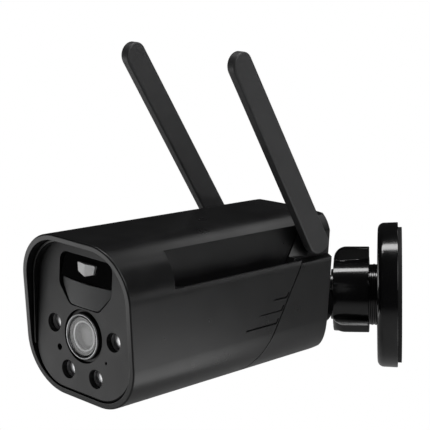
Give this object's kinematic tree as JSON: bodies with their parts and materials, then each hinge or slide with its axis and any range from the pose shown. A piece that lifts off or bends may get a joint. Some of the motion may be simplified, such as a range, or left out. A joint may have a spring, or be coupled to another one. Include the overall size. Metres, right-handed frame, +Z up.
{
  "type": "security camera",
  "caption": "Boxy battery security camera with a slanted hood, paddle antennas folding beside the body, and a ball joint with a winged lock nut on a round wall plate.",
  "frame": {"origin": "middle of the bracket's back face, on the wall", "axes": "+Y into the wall, +Z up, +X to the right of someone who faces the wall"},
  "size_m": [0.211, 0.1613, 0.1761],
  "materials": {
    "body_plastic": "satin",
    "panel_plastic": "satin",
    "antenna_plastic": "matt",
    "bracket_plastic": "gloss",
    "seal_rubber": "matt",
    "zinc_steel": "plain",
    "insert_brass": "plain",
    "lens_glass": "coated",
    "bezel_metal": "turned",
    "window_plastic": "gloss",
    "frosted_plastic": "frosted",
    "lamp_resin": "clear",
    "inner_plastic": "matt",
    "circuit_board": "satin",
    "cell_can": "sleeved"
  },
  "bodies": {
    "bracket": {"wall_plate": "bracket_plastic", "wall_pad": "seal_rubber"},
    "nut": {"lock_nut": "bracket_plastic"},
    "seat": {"ball_seat": "bracket_plastic"},
    "stem": {"ball_stem": "bracket_plastic"},
    "ring": {"stem_lock_ring": "bracket_plastic"},
    "head": {"main_housing": "body_plastic", "rear_cover": "body_plastic", "rear_seal": "seal_rubber", "rear_screws": "zinc_steel", "front_panel": "panel_plastic", "panel_seal": "seal_rubber", "hood_liner": "body_plastic", "motion_window": "window_plastic", "motion_lens": "frosted_plastic", "spot_lens": "lamp_resin", "motion_sensor": "zinc_steel", "lamp_board": "circuit_board", "lamp_domes": "lamp_resin", "light_sensor": "inner_plastic", "microphone": "inner_plastic", "lens_barrel": "inner_plastic", "lens_bezel": "bezel_metal", "lens_window": "lens_glass", "lens_element": "lens_glass", "lens_holder": "inner_plastic", "sensor_board": "circuit_board", "image_sensor": "inner_plastic", "battery_tray": "inner_plastic", "battery_cells": "cell_can", "main_board": "circuit_board", "shield_can": "zinc_steel", "speaker": "inner_plastic", "port_board": "circuit_board", "charge_socket": "zinc_steel", "card_slot": "zinc_steel", "reset_switch": "inner_plastic", "right_hinge_pin": "zinc_steel", "left_hinge_pin": "zinc_steel", "mount_insert": "insert_brass"},
    "right_paddle": {"right_antenna": "antenna_plastic"},
    "left_paddle": {"left_antenna": "antenna_plastic"},
    "socket_flap": {"port_cover": "seal_rubber"},
    "button": {"reset_button": "inner_plastic"}
  },
  "joints": [
    {"name": "nut_turn", "type": "hinge", "parent": "bracket", "child": "nut", "pos_m": [0, -0.0312, 0], "axis": [0, 1, 0], "range_deg": [0, 90]},
    {"name": "seat_spin", "type": "hinge", "parent": "bracket", "child": "seat", "pos_m": [0, -0.0312, 0], "axis": [0, 1, 0], "range_deg": [-180, 180]},
    {"name": "stem_tilt", "type": "hinge", "parent": "seat", "child": "stem", "pos_m": [0, -0.0312, 0], "axis": [0.0558, 0, -0.9984], "range_deg": [0, 90]},
    {"name": "ring_turn", "type": "hinge", "parent": "stem", "child": "ring", "pos_m": [0.03622, -0.05592, 0.00202], "axis": [-0.8251, 0.5631, -0.0461], "range_deg": [0, 90]},
    {"name": "head_roll", "type": "hinge", "parent": "stem", "child": "head", "pos_m": [0.03622, -0.05592, 0.00202], "axis": [-0.8251, 0.5631, -0.0461], "range_deg": [-45, 45]},
    {"name": "right_antenna_fold", "type": "hinge", "parent": "head", "child": "right_paddle", "pos_m": [0.07393, -0.03823, 0.04437], "axis": [0.565, 0.8224, -0.0673], "range_deg": [-70, 40]},
    {"name": "left_antenna_fold", "type": "hinge", "parent": "head", "child": "left_paddle", "pos_m": [0.03664, -0.0925, 0.04881], "axis": [0.565, 0.8224, -0.0673], "range_deg": [-70, 40]},
    {"name": "socket_flap_open", "type": "hinge", "parent": "head", "child": "socket_flap", "pos_m": [0.03622, -0.05306, 0.03701], "axis": [0.565, 0.8224, -0.0673], "range_deg": [0, 100]},
    {"name": "reset_press", "type": "slide", "parent": "head", "child": "button", "axis": [0.8251, -0.5631, 0.0461], "range_m": [0, 0.0005], "stiffness_N_per_m": 1000, "springref_m": -0.0005}
  ]
}
